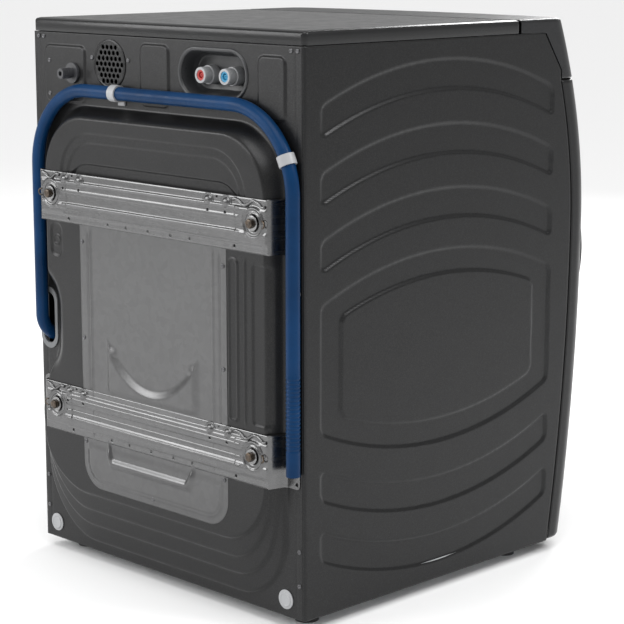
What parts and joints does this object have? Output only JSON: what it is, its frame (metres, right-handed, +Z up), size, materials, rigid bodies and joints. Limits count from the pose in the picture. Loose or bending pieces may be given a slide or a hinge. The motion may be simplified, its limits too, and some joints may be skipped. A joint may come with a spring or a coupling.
{
  "type": "clothes dryer",
  "caption": "Front-loading ventless washer dryer with a round door, detergent drawer, belt-driven drum, and transit braces and drain hose on its back.",
  "frame": {"origin": "centre of the overall box at floor level", "axes": "+Z up, front door faces -Y, back faces +Y"},
  "size_m": [0.711, 0.91, 1.01],
  "materials": {
    "cabinet_paint": "satin, fine metallic grain",
    "control_trim": "satin painted plastic",
    "galvanised": "bright zinc with spangle",
    "bright_steel": "bright zinc plate",
    "stainless": "brushed",
    "cast_aluminium": "as cast",
    "motor_shell": "dull",
    "weight_iron": "rough",
    "tub_plastic": "moulded",
    "pale_plastic": "moulded",
    "black_plastic": "moulded",
    "black_gloss": "gloss",
    "knob_metal": "satin",
    "door_clear": "clear",
    "grey_rubber": "moulded",
    "black_rubber": "moulded",
    "hose_blue": "satin",
    "board_green": "lacquered",
    "hot_red": "satin",
    "cold_blue": "satin"
  },
  "bodies": {
    "cabinet": {"side_panel_left": "cabinet_paint", "side_panel_right": "cabinet_paint", "rear_panel": "cabinet_paint", "top_panel": "cabinet_paint", "front_panel": "cabinet_paint", "inlet_recess": "cabinet_paint", "vent_grille": "cabinet_paint", "control_panel": "control_trim", "base_frame": "galvanised", "access_panel": "galvanised", "brace_upper": "galvanised", "brace_lower": "galvanised", "door_hinge": "galvanised", "air_duct": "galvanised", "hinge_pin": "bright_steel", "transit_bolts": "bright_steel", "panel_screws": "bright_steel", "shaft_bearings": "bright_steel", "tub_springs": "bright_steel", "heat_exchanger": "cast_aluminium", "drive_motor": "motor_shell", "blower_motor": "motor_shell", "counterweights": "weight_iron", "tub_front": "tub_plastic", "tub_rear": "tub_plastic", "dispenser_housing": "tub_plastic", "hose_clips": "pale_plastic", "hose_grommet": "pale_plastic", "hole_caps": "pale_plastic", "door_lock": "black_plastic", "drain_pump": "black_plastic", "power_gland": "black_plastic", "tub_dampers": "black_plastic", "display_window": "black_gloss", "door_gasket": "grey_rubber", "drive_belt": "black_rubber", "drain_hose": "hose_blue", "main_board": "board_green", "inlet_valve_hot": "hot_red", "inlet_valve_cold": "cold_blue"},
    "door": {"door_frame": "control_trim", "door_cover": "black_gloss", "door_glass": "door_clear"},
    "door_hook": {"door_hook": "bright_steel"},
    "drum": {"drum": "stainless", "drum_lifters": "tub_plastic", "drum_spider": "cast_aluminium", "drum_pulley": "cast_aluminium"},
    "motor_rotor": {"motor_pulley": "cast_aluminium"},
    "blower": {"blower_wheel": "black_plastic"},
    "drawer": {"detergent_drawer": "control_trim"},
    "knob": {"control_knob": "knob_metal"},
    "power_button": {"power_button": "knob_metal"},
    "start_button": {"start_button": "knob_metal"},
    "filter_cover": {"filter_cover": "control_trim"},
    "pump_filter": {"pump_filter": "tub_plastic"},
    "foot_front_left": {"foot_front_left": "black_rubber"},
    "foot_front_right": {"foot_front_right": "black_rubber"},
    "foot_rear_left": {"foot_rear_left": "black_rubber"},
    "foot_rear_right": {"foot_rear_right": "black_rubber"}
  },
  "joints": [
    {"name": "door_open", "type": "hinge", "parent": "cabinet", "child": "door", "pos_m": [-0.262, -0.38, 0.55], "axis": [0, 0, -1], "range_deg": [0, 110]},
    {"name": "hook_turn", "type": "hinge", "parent": "door", "child": "door_hook", "pos_m": [0.224, -0.366, 0.55], "axis": [0, 0, -1], "range_deg": [0, 10], "stiffness_Nm_per_rad": 0.6, "springref_deg": -2.86},
    {"name": "drum_spin", "type": "hinge", "parent": "cabinet", "child": "drum", "pos_m": [0, 0.109, 0.55], "axis": [0, 1, 0], "continuous": true},
    {"name": "motor_spin", "type": "hinge", "parent": "cabinet", "child": "motor_rotor", "pos_m": [0, 0.349, 0.15], "axis": [0, 1, 0], "continuous": true},
    {"name": "blower_spin", "type": "hinge", "parent": "cabinet", "child": "blower", "pos_m": [-0.02, 0.149, 0.918], "axis": [0, 1, 0], "continuous": true},
    {"name": "drawer_slide", "type": "slide", "parent": "cabinet", "child": "drawer", "axis": [0, -1, 0], "range_m": [0, 0.2]},
    {"name": "knob_turn", "type": "hinge", "parent": "cabinet", "child": "knob", "pos_m": [0, -0.32246, 0.945], "axis": [0, -0.9458, 0.3246], "continuous": true},
    {"name": "power_press", "type": "slide", "parent": "cabinet", "child": "power_button", "axis": [-0.1453, 0.9377, -0.3156], "range_m": [0, 0.002], "stiffness_N_per_m": 500, "springref_m": -0.001},
    {"name": "start_press", "type": "slide", "parent": "cabinet", "child": "start_button", "axis": [-0.1219, 0.9407, -0.3166], "range_m": [0, 0.002], "stiffness_N_per_m": 500, "springref_m": -0.001},
    {"name": "filter_cover_open", "type": "hinge", "parent": "cabinet", "child": "filter_cover", "pos_m": [0.24, -0.31569, 0.066], "axis": [0.9927, 0.1207, 0], "range_deg": [0, 90]},
    {"name": "filter_turn", "type": "hinge", "parent": "cabinet", "child": "pump_filter", "pos_m": [0.24, -0.281, 0.105], "axis": [0, -1, 0], "range_deg": [0, 90]},
    {"name": "foot_front_left_screw", "type": "slide", "parent": "cabinet", "child": "foot_front_left", "axis": [0, 0, -1], "range_m": [0, 0.02]},
    {"name": "foot_front_right_screw", "type": "slide", "parent": "cabinet", "child": "foot_front_right", "axis": [0, 0, -1], "range_m": [0, 0.02]},
    {"name": "foot_rear_left_screw", "type": "slide", "parent": "cabinet", "child": "foot_rear_left", "axis": [0, 0, -1], "range_m": [0, 0.02]},
    {"name": "foot_rear_right_screw", "type": "slide", "parent": "cabinet", "child": "foot_rear_right", "axis": [0, 0, -1], "range_m": [0, 0.02]}
  ],
  "couplings": [
    {"joint": "motor_spin", "follows": "drum_spin", "ratio": 12.5}
  ]
}
